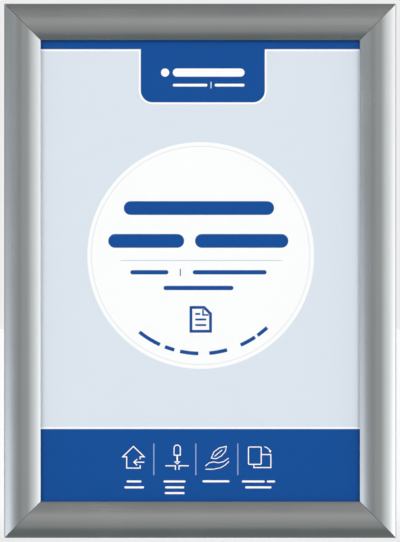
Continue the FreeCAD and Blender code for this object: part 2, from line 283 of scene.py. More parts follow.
@dataclass(frozen=True)
class DrawnAluminium(Finish):
    """Anodised extrusion: satin, with faint die lines along it and a slow cloudiness."""

    run: Run
    tint: Colour = (0.60, 0.61, 0.62)
    roughness: float = 0.26
    line_depth: float = 0.6

    def surface(self, graph: Graph) -> Wire:
        """Metal whose gloss and tone follow the die lines.

        Args:
            graph: The material's graph.

        Returns:
            The shader.
        """
        lines = graph.noise(graph.place(self.run.stretch(3.0, 2600.0)), detail=3.0, roughness=0.6)
        bands = graph.noise(graph.place(self.run.stretch(1.2, 420.0)), detail=1.0)
        cloud = graph.even_noise(26.0)
        grain = graph.even_noise(9000.0, detail=0.0)
        tone = (0.6 * bands + 0.4 * cloud).within(0.0, 1.0)
        sockets = {
            "Base Color": graph.blend(tone, toned(self.tint, 0.94), self.tint),
            "Metallic": 1.0,
            "Roughness": self.roughness + 0.05 * (cloud - 0.5) + 0.06 * (lines - 0.5),
            "Normal": graph.bump(lines + 0.3 * grain, 0.35, self.line_depth * 1e-6),
        }
        return graph.principled(sockets)


@dataclass(frozen=True)
class BrightSteel(Finish):
    """Spring steel or zinc plate: rolled streaks, and crystals where it is plated."""

    run: Run
    tint: Colour
    roughness: float
    spangle: float = 0.0

    def surface(self, graph: Graph) -> Wire:
        """Metal with streaks along the roll and, if plated, patches that catch light differently.

        Args:
            graph: The material's graph.

        Returns:
            The shader.
        """
        streaks = graph.noise(graph.place(self.run.stretch(60.0, 3200.0)), detail=2.0)
        crystals = graph.add(
            "ShaderNodeTexVoronoi",
            {"feature": "F1"},
            {"Vector": graph.place((420.0, 420.0, 420.0)), "Scale": 1.0},
            output="Distance",
        )
        shade = (0.7 * streaks + self.spangle * crystals).within(0.0, 1.0)
        sockets = {
            "Base Color": graph.blend(shade, toned(self.tint, 0.8), self.tint),
            "Metallic": 1.0,
            "Roughness": self.roughness + 0.12 * (streaks - 0.5) + 0.2 * self.spangle * crystals,
            "Normal": graph.bump(streaks, 0.3, 1.5e-6),
        }
        return graph.principled(sockets)


@dataclass(frozen=True)
class Print(Finish):
    """Ink on coated paper: an even colour with the paper's fibres just showing in its gloss."""

    colour: Colour
    gloss: float = 0.48

    def surface(self, graph: Graph) -> Wire:
        """A coated sheet with a very fine mottle.

        Args:
            graph: The material's graph.

        Returns:
            The shader.
        """
        fibres = graph.even_noise(2600.0, detail=3.0, roughness=0.7)
        mottle = graph.even_noise(55.0)
        tone = (0.5 * fibres + 0.5 * mottle).within(0.0, 1.0)
        sockets = {
            "Base Color": graph.blend(tone, toned(self.colour, 0.975), self.colour),
            "Roughness": self.gloss + 0.12 * (fibres - 0.5),
            "Specular IOR Level": 0.12,
            "Normal": graph.bump(fibres, 0.2, 4e-6),
        }
        return graph.principled(sockets)


@dataclass(frozen=True)
class ClearSheet(Finish):
    """Thin clear plastic with an anti-glare face."""

    alpha: float = 0.04

    def surface(self, graph: Graph) -> Wire:
        """Almost nothing but a soft sheen.

        Args:
            graph: The material's graph.

        Returns:
            The shader.
        """
        frost = graph.even_noise(5200.0, detail=1.0)
        sockets = {
            "Base Color": (0.05, 0.05, 0.055, 1.0),
            "Roughness": 0.34 + 0.08 * (frost - 0.5),
            "IOR": 1.49,
            "Alpha": self.alpha,
        }
        return graph.principled(sockets)


@dataclass(frozen=True)
class PlasticBoard(Finish):
    """Rolled plastic board: fine roll marks, a slight orange peel and a few long scuffs."""

    colour: Colour
    run: Run = Run.UPRIGHT

    def surface(self, graph: Graph) -> Wire:
        """A matt board.

        Args:
            graph: The material's graph.

        Returns:
            The shader.
        """
        peel = graph.even_noise(900.0)
        rolls = graph.noise(graph.place(self.run.stretch(4.0, 360.0)), detail=2.0)
        patches = graph.even_noise(14.0, detail=3.0)
        scuffs = graph.noise(graph.place((30.0, 30.0, 700.0)), detail=4.0, roughness=0.7)
        scuffed = ((scuffs - 0.63) * 9.0).within(0.0, 1.0)
        tone = (0.6 * patches + 0.4 * rolls).within(0.0, 1.0)
        board = graph.blend(tone, toned(self.colour, 0.93), self.colour)
        sockets = {
            "Base Color": graph.blend(0.5 * scuffed, board, toned(self.colour, 1.05)),
            "Roughness": 0.55 + 0.12 * (rolls - 0.5) - 0.1 * scuffed,
            "Normal": graph.bump(peel + 0.6 * rolls, 0.35, 2.5e-5),
        }
        return graph.principled(sockets)


@dataclass(frozen=True)
class StudioPaint(Finish):
    """The matt paint of the studio floor, lit a little from within so that it stays pale."""

    colour: Colour
    lift: float = 0.57
    shade: float = 0.5

    def surface(self, graph: Graph) -> Wire:
        """Plain, with the faintest unevenness.

        Args:
            graph: The material's graph.

        Returns:
            The shader.
        """
        uneven = graph.even_noise(3.0, detail=3.0)
        paint = toned(self.colour, self.shade)
        sockets = {
            "Base Color": graph.blend(uneven, toned(paint, 0.97), paint),
            "Roughness": 0.9,
            "Emission Color": (*self.colour, 1.0),
            "Emission Strength": self.lift,
        }
        return graph.principled(sockets)


# ----------------------------------------------------------------------------------------------------- shapes


def arc(centre: Point, radius: float, start: float, end: float, step: float = 3.0) -> Loop:
    """Points along an arc.

    Args:
        centre: The arc's centre.
        radius: Its radius.
        start: The angle of its first point, in degrees.
        end: The angle of its last point, above start for an anticlockwise arc.
        step: The most that two neighbours may turn, in degrees.

    Returns:
        The points, both ends included.
    """
    count = max(1, math.ceil(abs(end - start) / step))
    angles = [math.radians(start + (end - start) * n / count) for n in range(count + 1)]
    return [(centre[0] + radius * math.cos(a), centre[1] + radius * math.sin(a)) for a in angles]


def fillet(before: Point, corner: Point, after: Point, radius: float) -> Loop:
    """Rounds one corner between two straight sides.

    Args:
        before: A point on the side that arrives.
        corner: The corner.
        after: A point on the side that leaves.
        radius: The rounding's radius.

    Returns:
        The points that take the corner's place.
    """
    here = Vector(corner)
    back, on = (Vector(before) - here).normalized(), (Vector(after) - here).normalized()
    half = back.angle(on) / 2
    reach = radius / math.tan(half)
    centre = here + (back + on).normalized() * (radius / math.sin(half))
    first, last = here + back * reach, here + on * reach
    start = math.degrees(math.atan2(first.y - centre.y, first.x - centre.x))
    end = math.degrees(math.atan2(last.y - centre.y, last.x - centre.x))
    turn = (end - start + 180) % 360 - 180
    return arc(tuple(centre), radius, start, start + turn, step=15.0)


def softened(corners: Iterable[tuple[float, float, float]]) -> Loop:
    """Rounds the corners of a closed outline.

    Args:
        corners: Each corner as (u, w, radius), a radius of 0 leaving it sharp.

    Returns:
        The outline's points.
    """
    corners = list(corners)
    outline: Loop = []
    for n, (u, w, radius) in enumerate(corners):
        if radius > 0:
            outline += fillet(corners[n - 1][:2], (u, w), corners[(n + 1) % len(corners)][:2], radius)
        else:
            outline.append((u, w))
    return outline


def softened_run(points: Sequence[Point], radii: Sequence[float]) -> Loop:
    """Rounds the inner corners of an open run of straight sides.

    Args:
        points: The run's points.
        radii: The rounding's radius at each point between the two ends.

    Returns:
        The run's points, without its last.
    """
    run: Loop = [points[0]]
    for n, radius in enumerate(radii, start=1):
        run += fillet(points[n - 1], points[n], points[n + 1], radius)
    return run


def rectangle(left: float, bottom: float, right: float, top: float, radius: float = 0.0) -> Loop:
    """An upright rectangle, its corners rounded if a radius is given."""
    corners = [(left, bottom, radius), (right, bottom, radius), (right, top, radius), (left, top, radius)]
    return softened(corners)


def circle(centre: Point, radius: float, step: float = 3.0) -> Loop:
    """A circle's points, anticlockwise."""
    return arc(centre, radius, 0.0, 360.0, step)[:-1]


def ribbon(path: Sequence[Point], width: float, closed: bool = False) -> list[Loop]:
    """Turns a line into a stroke of even width with mitred joints.

    Args:
        path: The line's points.
        width: The stroke's width.
        closed: Whether the line comes back to its start.

    Returns:
        The stroke's outline: one loop, or the outer and the inner loop of a closed stroke.
    """
    points = [Vector(point) for point in path]
    count = len(points)
    sides: tuple[Loop, Loop] = ([], [])
    for n, here in enumerate(points):
        back = here - points[n - 1] if closed or n > 0 else points[1] - here
        on = points[(n + 1) % count] - here if closed or n < count - 1 else back
        back, on = back.normalized(), on.normalized()
        across = Vector((-(back.y + on.y), back.x + on.x)).normalized()
        reach = width / 2 / max(0.35, across.dot(Vector((-back.y, back.x))))
        sides[0].append(tuple(here + across * reach))
        sides[1].append(tuple(here - across * reach))
    if closed:
        return [sides[1], sides[0][::-1]]
    return [sides[0] + sides[1][::-1]]


def band(shape: bmesh.types.BMesh, near: Ring, far: Ring) -> list[bmesh.types.BMFace]:
    """Joins two rings of as many vertices with a band of faces.

    Args:
        shape: The mesh that both rings are in.
        near: One ring.
        far: The other ring.

    Returns:
        The faces, in the rings' order.
    """
    faces = []
    for n in range(len(near)):
        after = (n + 1) % len(near)
        faces.append(shape.faces.new((near[n], near[after], far[after], far[n])))
    return faces


def new_object(name: str, shape: bmesh.types.BMesh) -> bpy.types.Object:
    """Puts a finished shape in the scene, and frees it.

    Args:
        name: The object's name.
        shape: Its mesh, drawn in place.

    Returns:
        The object, at the origin.
    """
    mesh = bpy.data.meshes.new(name)
    shape.to_mesh(mesh)
    shape.free()
    thing = bpy.data.objects.new(name, mesh)
    bpy.context.scene.collection.objects.link(thing)
    return thing


class Side(Enum):
    """A side of the frame, by how far clockwise from the top it lies."""

    TOP = 0
    RIGHT = 90
    BOTTOM = 180
    LEFT = 270

    @property
    def label(self) -> str:
        """The side's name as the CAD nodes have it."""
        return self.name.lower()

    @property
    def upright(self) -> bool:
        """Whether the side's rails stand upright."""
        return self in (Side.LEFT, Side.RIGHT)

    @property
    def run(self) -> Run:
        """Which way its rails run."""
        return Run.UPRIGHT if self.upright else Run.ACROSS

    def reach(self) -> float:
        """How far its outer edge lies from the frame's middle, in millimetres."""
        return CAD_BOX[1].x / MM if self.upright else CAD_BOX[1].z / MM

    def length(self) -> float:
        """How long the frame is along it, in millimetres."""
        return 2 * (CAD_BOX[1].z if self.upright else CAD_BOX[1].x) / MM

    def place(self, x: float, u: float, w: float) -> Vector:
        """The point, in metres, that is x along the side's rails, u inwards and w off the wall."""
        drawn = Vector((-x, -w, self.reach() - u)) * MM
        return Matrix.Rotation(math.radians(self.value), 3, "Y") @ drawn


class Extrusion:
    """A closed section drawn out along a side of the frame into one solid of a mesh."""

    def __init__(self, shape: bmesh.types.BMesh, side: Side) -> None:
        """Adds to a shape, along a side."""
        self.shape = shape
        self.side = side

    def draw(self, section: Loop, end: Callable[[float], float], crease: float = 24.0) -> None:
        """Draws a section out both ways from the side's middle.

        Args:
            section: The outline, clockwise or not, in u and w.
            end: How far from the middle the solid ends, for a u.
            crease: The turn between two faces above which their edge stays sharp, in degrees.
        """
        ends = []
        for sign in (-1.0, 1.0):
            ring = [self.shape.verts.new(self.side.place(sign * end(u), u, w)) for u, w in section]
            ends.append(ring)
        faces = band(self.shape, *ends)
        caps = [self.shape.faces.new(ring) for ring in ends]
        for face in faces:
            face.smooth = True
        bmesh.ops.recalc_face_normals(self.shape, faces=faces + caps)
        for face in faces:
            for edge in face.edges:
                flat_end = any(linked in caps for linked in edge.link_faces)
                edge.smooth = not flat_end and edge.calc_face_angle(math.pi) < math.radians(crease)
        bmesh.ops.triangulate(self.shape, faces=caps)


# --------------------------------------------------------------------------------------------- sub-assemblies


@dataclass
class SnapRail:
    """A curved front rail that turns on a bead, with a hook for the springs and a lip for the sheets."""

    side: Side
    depth: float = 12.0
    face_width: float = 22.4
    crown_u: float = 11.5
    skin: float = 1.2
    shoulder: float = 4.0
    lip_bottom: float = 7.25
    lip_top: float = 8.05
    lip_width: float = 1.8
    lip_round: float = 0.4
    lip_edge: float = 0.18
    hinge: Point = (1.5, 2.9)
    bead: float = 1.3
    bead_setback: float = 3.1
    bead_overlap: float = 0.3
    neck_angles: tuple[float, float] = (100.0, 136.0)
    rib: tuple[float, float] = (5.35, 5.95)
    hook_top: float = 6.45
    hook_u: float = 1.905
    hook_width: float = 0.7
    hook_rounds: tuple[float, ...] = (0.12, 0.16, 0.16, 0.16, 0.12)
    neck_lean: float = 0.06
    heel: Point = (0.25, 0.07)
    mitre_gap: float = 0.15

    def _arcs(self) -> tuple[float, float, float, float]:
        """Works out the two arcs of the curved face.

        Returns:
            The face's radius and its centre's height, the shoulder's centre's height, and the angle where the
            two meet, in degrees.
        """
        drop = self.depth - self.lip_top
        inner = self.face_width - self.crown_u
        radius = (inner**2 + drop**2) / (2 * drop)
        centre = self.depth - radius
        rise = math.sqrt((radius - self.shoulder) ** 2 - (self.crown_u - self.shoulder) ** 2)
        meet = 180 - math.degrees(math.atan2(rise, self.crown_u - self.shoulder))
        return radius, centre, centre + rise, meet

    def _skin_inside(self, w: float) -> float:
        """How far in the shoulder's inner face is at a height."""
        shoulder_w = self._arcs()[2]
        return self.shoulder - math.sqrt((self.shoulder - self.skin) ** 2 - (w - shoulder_w) ** 2)

    def _shell(self) -> Loop:
        """Draws the skin, the hook and the lip, down to just above the bead.

        Returns:
            The section's outline.
        """
        radius, centre_w, shoulder_w, meet = self._arcs()
        face = (self.crown_u, centre_w)
        turn = (self.shoulder, shoulder_w)
        lip_end = math.degrees(math.atan2(self.lip_top - centre_w, self.face_width - self.crown_u))
        inner = radius - self.skin
        lip_u = self.face_width - self.lip_width
        lip_start = math.degrees(math.acos((lip_u - self.crown_u) / inner))
        bottom = sum(self.hinge)
        heel_u, heel_w = self.heel
        neck = self.skin + self.neck_lean
        hook_far = self.hook_u + self.hook_width
        low, high = self.rib
        rib_turn = 180 - math.degrees(math.asin((high - shoulder_w) / (self.shoulder - self.skin)))
        edge = arc(face, radius, meet, lip_end, 2.5)[1:-1]
        tip, lip_low = (self.face_width, self.lip_bottom), self.lip_bottom + self.lip_round
        outline = [(0.0, bottom + heel_u)]
        outline += arc(turn, self.shoulder, 180.0, meet, 4.0)
        outline += edge
        outline += fillet(edge[-1], (self.face_width, self.lip_top), tip, self.lip_edge)
        outline += arc((self.face_width - self.lip_round, lip_low), self.lip_round, 0, -90, 15)
        outline += arc((lip_u + self.lip_round, lip_low), self.lip_round, -90, -180, 15)
        outline += arc(face, inner, lip_start, meet, 3.0)
        outline += arc(turn, self.shoulder - self.skin, meet, rib_turn, 5.0)[1:]
        outline += softened_run(
            [(self._skin_inside(high), high), (self.hook_u, high), (self.hook_u, self.hook_top),
             (hook_far, self.hook_top), (hook_far, low), (self.skin, low), (neck, bottom)],
            self.hook_rounds,
        )[1:]
        outline += [(neck, bottom), (heel_u, bottom), (heel_w, bottom + heel_w)]
        return outline

    def _bead(self) -> Loop:
        """Draws the bead and its neck, which reaches up into the shell.

        Returns:
            The section's outline.
        """
        start, end = self.neck_angles
        top = sum(self.hinge) + self.bead_overlap
        around = arc(self.hinge, self.bead, start, end - 360.0, 6.0)
        return [(self.skin + 0.05, top), *around, (0.04, top - 0.28), (0.25, top)]

    def build(self) -> bpy.types.Object:
        """Makes the rail in place of its CAD node.

        Returns:
            The rail.
        """
        shape = bmesh.new()
        half = self.side.length() / 2
        extrusion = Extrusion(shape, self.side)
        extrusion.draw(self._shell(), lambda u: half - u - self.mitre_gap)
        extrusion.draw(self._bead(), lambda u: half - self.bead_setback)
        node = f"snap_rail_{self.side.label}"
        rail = new_object(f"{node}_face", shape)
        DrawnAluminium(f"satin_anodised_{self.side.run.name.lower()}", self.side.run).dress(rail)
        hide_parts(node)
        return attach(rail, node)


@dataclass
class LeafSpring:
    """A strip of spring steel hooked over its snap rail's lip and under the base rail's anchor."""

    side: Side
    place: str
    thick: float = 0.4
    bend: float = 0.3
    shoulder: float = 3.6
    hook_face: float = 1.785
    hook_end: float = 6.07
    hook_turn: float = 6.27
    tail_face: float = 12.48
    tail_turn: float = 2.28
    tail_end: float = 13.68
    end_bevel: float = 0.15
    end_thinning: float = 0.1
    still_until: Point = (11.4, 4.0)
    turns_from: Point = (3.0, 4.0)
    tint: Colour = field(default_factory=lambda: srgb(196, 198, 203))
    roughness: float = 0.24

    def _centre_line(self) -> Loop:
        """Draws the strip's middle line in section.

        Returns:
            The line's points, from the hook to the tail.
        """
        half = self.thick / 2
        turn = self.bend + half
        hook_u = self.hook_face + self.bend
        top = self.hook_turn + turn
        bow = self.shoulder - half
        bow_u, bow_w = self.tail_face - self.shoulder, top + half - self.shoulder
        tail_u = self.tail_face + self.bend
        line = [(hook_u - turn, self.hook_end)]
        line += arc((hook_u, self.hook_turn), turn, 180.0, 90.0, 15.0)
        line += [(hook_u + (bow_u - hook_u) * n / 8, top) for n in range(1, 8)]
        line += arc((bow_u, bow_w), bow, 90.0, 0.0, 6.0)
        line += arc((tail_u, self.tail_turn), turn, 180.0, 270.0, 15.0)
        line += [(self.tail_end, self.tail_turn - turn)]
        return line

    def _strip(self, middle: float, length: float) -> bmesh.types.BMesh:
        """Draws the strip's solid, its ends a little thinner.

        Args:
            middle: Where its middle is along the side, in millimetres.
            length: How long it is along the side, in millimetres.

        Returns:
            The mesh.
        """
        shape = bmesh.new()
        half = length / 2
        inner = half - self.end_bevel
        rings = []
        for x, thinning in ((-half, self.end_thinning), (-inner, 0.0), (inner, 0.0), (half, self.end_thinning)):
            outline = ribbon(self._centre_line(), self.thick - thinning)[0]
            rings.append([shape.verts.new(self.side.place(middle + x, u, w)) for u, w in outline])
        for near, far in zip(rings, rings[1:]):
            band(shape, near, far)
        count = len(rings[0])
        for ring in (rings[0], rings[-1]):
            for n in range(count // 2 - 1):
                shape.faces.new((ring[n], ring[n + 1], ring[count - 2 - n], ring[count - 1 - n]))
        bmesh.ops.recalc_face_normals(shape, faces=shape.faces[:])
        for face in shape.faces:
            face.smooth = True
        for edge in shape.edges:
            edge.smooth = edge.calc_face_angle(0.0) < math.radians(30)
        return shape

    def build(self) -> bpy.types.Object:
        """Makes the spring in place of its CAD node.

        Returns:
            The spring.
        """
        node = f"snap_spring_{self.side.label}_{self.place}"
        low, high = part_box(node)
        length = (high - low).z if self.side.upright else (high - low).x
        origin = self.side.place(0.0, 0.0, 0.0)
        middle = ((low + high) / 2 - origin).dot(self.side.place(1.0, 0.0, 0.0) - origin) / MM**2
        spring = new_object(f"leaf_spring_{self.side.label}_{self.place}", self._strip(middle, length / MM))
        run = self.side.run
        BrightSteel(f"spring_steel_{run.name.lower()}", run, self.tint, self.roughness).dress(spring)
        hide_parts(node)
        start = tuple(self.side.place(middle, *self.still_until))
        end = tuple(self.side.place(middle, *self.turns_from))
        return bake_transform(spring)


@dataclass
class BaseFrame:
    """The base rails, the keys inside their corners and the panel in their groove. Their CAD shapes stay."""

    rail_tint: Colour = (0.60, 0.61, 0.62)
    key_tint: Colour = field(default_factory=lambda: srgb(190, 190, 184))
    board_colour: Colour = field(default_factory=lambda: srgb(226, 228, 229))

    def build(self) -> list[bpy.types.Object]:
        """Dresses the fixed CAD nodes.

        Returns:
            The nodes' objects.
        """
        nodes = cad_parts
        dressed = []
        for side in Side:
            name = f"base_anodised_{side.run.name.lower()}"
            anodised = DrawnAluminium(name, side.run, self.rail_tint, roughness=0.36, line_depth=0.9)
            dressed.append(anodised.dress(nodes[f"base_rail_{side.label}"]))
        plate = BrightSteel("zinc_plate", Run.UPRIGHT, self.key_tint, roughness=0.34, spangle=0.6)
        dressed += [plate.dress(node) for name, node in nodes.items() if name.startswith("corner_key")]
        dressed.append(PlasticBoard("backing_board", self.board_colour).dress(nodes["backing_panel"]))
        return dressed


class Ink(Enum):
    """The inks of the printed sheet, as a screen shows them."""

    BLUE = (0, 76, 152)
    GROUND = (221, 230, 240)
    WHITE = (255, 255, 255)
    RULE = (206, 218, 232)
    RING = (232, 234, 240)
    DIVIDER = (138, 163, 206)

    def finish(self) -> Print:
        """The ink on coated paper."""
        return Print(f"ink_{self.name.lower()}", srgb(*self.value))


class Artwork:
    """Shapes in one ink, all at one height over the sheet."""

    THICKNESS = 0.012

    def __init__(self, name: str, ink: Ink, lift: float) -> None:
        """Starts an empty piece of artwork.

        Args:
            name: The piece's name.
            ink: Its ink.
            lift: How far over the printed face it lies, in millimetres.
        """
        self.name = name
        self.ink = ink
        self.lift = lift
        self.shape = bmesh.new()

    def fill(self, outline: Loop, *holes: Loop) -> "Artwork":
        """Fills an outline in x and z.

        Args:
            outline: The outline.
            *holes: The outlines of any holes in it.

        Returns:
            The artwork.
        """
        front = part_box("poster_sheet")[0].y - self.lift * MM
        loops = [outline, *holes]
        points = [Vector((x * MM, front, z * MM)) for loop in loops for x, z in loop]
        verts = [self.shape.verts.new(point) for point in points]
        flat = [[Vector((x, z, 0.0)) for x, z in loop] for loop in loops]
        for corners in tessellate_polygon(flat):
            if len(set(corners)) == 3:
                self.shape.faces.new([verts[n] for n in corners])
        return self

    def stroke(self, path: Sequence[Point], width: float, closed: bool = False) -> "Artwork":
        """Draws a line of even width, and returns the artwork."""
        return self.fill(*ribbon(path, width, closed))

    def bar(self, left: float, right: float, middle: float, height: float) -> "Artwork":
        """Draws a level bar with round ends, in place of a word, and returns the artwork."""
        radius = 0.999 * min(height, right - left) / 2
        return self.fill(rectangle(left, middle - height / 2, right, middle + height / 2, radius))

    def finish(self) -> bpy.types.Object:
        """Gives the artwork its thickness, and lays it on the sheet.

        Returns:
            The printed piece.
        """
        backs = bmesh.ops.extrude_face_region(self.shape, geom=self.shape.faces[:])["geom"]
        for vert in backs:
            if isinstance(vert, bmesh.types.BMVert):
                vert.co.y += self.THICKNESS * MM
        bmesh.ops.recalc_face_normals(self.shape, faces=self.shape.faces[:])
        piece = self.ink.finish().dress(new_object(self.name, self.shape))
        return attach(piece, "frame")


@dataclass
class PrintedSheet:
    """The A4 sheet: white coated stock, printed with plain fields, a roundel, word bars and pictograms."""

    half_width: float = 105.0
    half_height: float = 148.5
    header_bottom: float = 135.6
    white_rule: float = 1.3
    tab: tuple[float, float, float] = (-36.4, 39.5, 103.1)
    tab_radius: float = 7.2
    footer_top: float = -96.8
    roundel: Point = (0.3, 9.4)
    roundel_radius: float = 69.4
    ring_radius: float = 66.8
    under: float = 0.018
    over: float = 0.036
    ring_width: float = 0.56
    line: float = 0.62
    fine_line: float = 0.5
    edge_line_radius: float = 60.0

    def _tab_outline(self, grow: float, top: float) -> Loop:
        """Draws the tab that hangs from the header.

        Args:
            grow: How much larger it is all round.
            top: The height of its two ends.

        Returns:
            The line's points, from its top left round to its top right.
        """
        left, right, bottom = self.tab
        left, right, bottom, radius = left - grow, right + grow, bottom - grow, self.tab_radius + grow
        outline = [(left, top)]
        outline += arc((left + radius, bottom + radius), radius, 180.0, 270.0, 6.0)
        outline += arc((right - radius, bottom + radius), radius, 270.0, 360.0, 6.0)
        return outline + [(right, top)]

    def _fields(self) -> list[Artwork]:
        """Draws the blue header with its tab, the blue footer, and the pale ground round the roundel.

        Returns:
            The artworks.
        """
        width, height = self.half_width, self.half_height
        blue = Artwork("print_blue_fields", Ink.BLUE, self.under)
        blue.fill([(-width, height), (-width, self.header_bottom), *self._tab_outline(0.0, self.header_bottom),
                   (width, self.header_bottom), (width, height)])
        blue.fill(rectangle(-width, -height, width, self.footer_top))
        top, bottom = self.header_bottom - self.white_rule, self.footer_top + self.white_rule
        ground = Artwork("print_pale_ground", Ink.GROUND, self.under)
        ground.fill(
            [(-width, bottom), (-width, top), *self._tab_outline(1.2, top), (width, top), (width, bottom)],
            circle(self.roundel, self.roundel_radius, 2.0),
        )
        return [blue, ground]

    def _roundel(self) -> list[Artwork]:
        """Draws the ring just inside the roundel's edge, and the rule under its title.

        Returns:
            The artworks.
        """
        ring = Artwork("print_roundel_ring", Ink.RING, self.under)
        half = self.ring_width / 2
        ring.fill(*(circle(self.roundel, self.ring_radius + grow, 2.0) for grow in (half, -half)))
        rule = Artwork("print_title_rule", Ink.RULE, self.under)
        rule.bar(-49.0, 50.0, 6.3, 0.6)
        return [ring, rule]

    def _words(self) -> list[Artwork]:
        """Draws bars in place of the title, the lines under it and the line along the roundel's edge.

        Returns:
            The artwork, alone in a list.
        """
        words = Artwork("print_word_bars", Ink.BLUE, self.under)
        for left, right, middle, height in (
            (-46.8, 45.2, 38.4, 8.4),
            (-56.3, -9.8, 18.3, 8.4),
            (-3.2, 53.9, 18.3, 8.4),
            (-42.8, -19.5, -0.9, 2.6),
            (-4.6, 40.6, -0.9, 2.6),
            (-22.5, 20.3, -10.5, 2.6),
        ):
            words.bar(left, right, middle, height)
        words.stroke([(-12.2, 1.3), (-12.2, -3.2)], 0.6)
        sheet = [(-5.7, -37.0), (6.3, -37.0), (6.3, -26.3), (2.4, -22.4), (-5.7, -22.4)]
        words.stroke(sheet, 1.7, closed=True).stroke([(1.7, -23.5), (1.7, -27.0), (5.2, -27.0)], 1.0)
        for right, z in ((0.0, -26.4), (3.6, -29.8), (3.6, -33.2)):
            words.stroke([(-3.0, z), (right, z)], 1.2)
        for start, end in (
            (-128.7, -114.6), (-111.4, -105.6), (-102.2, -91.4),
            (-85.0, -74.4), (-66.0, -56.4), (-54.6, -47.4),
        ):
            words.stroke(arc(self.roundel, self.edge_line_radius, start, end, 2.0), 2.2)
        return [words]

    def _header_mark(self) -> list[Artwork]:
        """Draws a plain dot and bars in the header's tab.

        Returns:
            The artwork, alone in a list.
        """
        mark = Artwork("print_header_mark", Ink.WHITE, self.over)
        mark.fill(circle((-21.5, 121.3), 2.5, 10.0))
        mark.bar(-16.8, 27.1, 121.3, 5.0)
        mark.bar(-16.8, 4.4, 113.6, 1.7).bar(8.8, 27.1, 113.6, 1.7)
        mark.stroke([(6.6, 115.6), (6.6, 111.6)], 0.45)
        return [mark]

    def _pictograms(self) -> list[Artwork]:
        """Draws four line pictograms and the dividers between them.

        The four are an arrow into a house, a screwdriver at a wall, a feather on a palm, and a sheet either way
        up.

        Returns:
            The pictograms' artwork and the dividers'.
        """
        line, fine = self.line, self.fine_line
        signs = Artwork("print_pictograms", Ink.WHITE, self.over)
        signs.stroke([(-36.8, -118.9), (-36.8, -120.7), (-45.0, -120.7), (-45.0, -113.8), (-47.4, -113.8),
                      (-40.9, -107.4), (-34.3, -113.8), (-36.8, -113.8), (-36.8, -115.3)], line)
        signs.stroke([(-34.2, -117.1), (-40.0, -117.1)], line)
        signs.stroke([(-38.6, -115.2), (-40.6, -117.1), (-38.6, -119.0)], line)
        handle = arc((-14.1, -108.5), 1.9, 180.0, 0.0, 20.0)
        signs.stroke([*handle, (-12.2, -112.8), (-16.0, -112.8)], line, True)
        signs.stroke([(-14.1, -113.15), (-14.1, -116.55)], 0.9)
        signs.stroke([(-15.5, -116.9), (-12.7, -116.9), (-14.1, -118.2)], fine, True)
        signs.stroke([(-21.3, -119.3), (-15.2, -119.3), (-15.2, -121.8)], line)
        signs.stroke([(-7.0, -119.3), (-13.0, -119.3), (-13.0, -121.8)], line)
        signs.stroke([(6.8, -114.6), (8.4, -110.8), (11.6, -108.4), (16.0, -107.4), (15.4, -110.4),
                      (12.8, -113.4), (9.6, -115.0)], fine, True)
        signs.stroke([(8.8, -113.5), (13.4, -109.6)], fine)
        signs.stroke([(3.2, -119.4), (5.4, -117.5), (8.2, -116.9), (11.0, -117.5), (14.2, -116.8),
                      (17.4, -114.6)], fine)
        signs.stroke([(3.2, -121.4), (8.0, -121.4), (12.4, -120.5), (15.2, -118.9), (17.6, -116.6)], fine)
        signs.stroke(rectangle(29.5, -118.4, 37.3, -107.8, 0.6), line, True)
        signs.stroke([(37.65, -112.4), (43.2, -112.4), (43.2, -120.4), (32.8, -120.4), (32.8, -118.75)], line)
        signs.stroke(arc((38.8, -112.0), 4.3, 84.0, 26.0, 12.0), fine)
        signs.fill([(41.9, -110.3), (43.5, -109.6), (43.0, -111.5)])
        dividers = Artwork("print_dividers", Ink.DIVIDER, self.over)
        for x in (-28.4, -2.7, 23.0):
            dividers.stroke([(x, -105.7), (x, -125.0)], 0.75)
        return [signs, dividers]

    def _captions(self) -> list[Artwork]:
        """Draws small bars under each pictogram.

        Returns:
            The artwork, alone in a list.
        """
        captions = Artwork("print_caption_bars", Ink.WHITE, self.over)
        for left, right, middle in (
            (-45.0, -36.0, -128.9), (-46.4, -34.4, -132.5),
            (-22.5, -9.0, -128.9), (-21.5, -9.8, -132.5), (-21.7, -9.6, -136.0),
            (1.4, 17.9, -128.8),
            (25.5, 39.4, -128.9), (40.8, 45.8, -128.9), (27.5, 43.6, -132.5),
        ):
            captions.bar(left, right, middle, 1.25)
        return [captions]

    def build(self) -> list[bpy.types.Object]:
        """Dresses the sheet and lays its print on it.

        Returns:
            The sheet and the printed pieces.
        """
        sheet = Print("coated_paper", srgb(253, 254, 255), 0.5).dress(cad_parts["poster_sheet"])
        artworks = [
            *self._fields(), *self._roundel(), *self._words(),
            *self._header_mark(), *self._pictograms(), *self._captions(),
        ]
        return [sheet, *(artwork.finish() for artwork in artworks)]


@dataclass
class CoverSheet:
    """The clear sheet that keeps the print clean, its corners slightly rounded."""

    corner: float = 1.0
    stand_off: float = 0.08

    def build(self) -> bpy.types.Object:
        """Makes the cover in place of its CAD node.

        Returns:
            The cover.
        """
        low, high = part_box("cover_sheet")
        outline = rectangle(low.x / MM, low.z / MM, high.x / MM, high.z / MM, self.corner)
        shape = bmesh.new()
        depths = (low.y, high.y - self.stand_off * MM)
        rings = [[shape.verts.new((x * MM, y, z * MM)) for x, z in outline] for y in depths]
        band(shape, *rings)
        for ring in rings:
            shape.faces.new(ring)
        bmesh.ops.recalc_face_normals(shape, faces=shape.faces[:])
        cover = ClearSheet("clear_cover").dress(new_object("cover_sheet_clear", shape))
        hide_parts("cover_sheet")
        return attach(cover, "frame")


# ----------------------------------------------------------------------------------------------------- studio


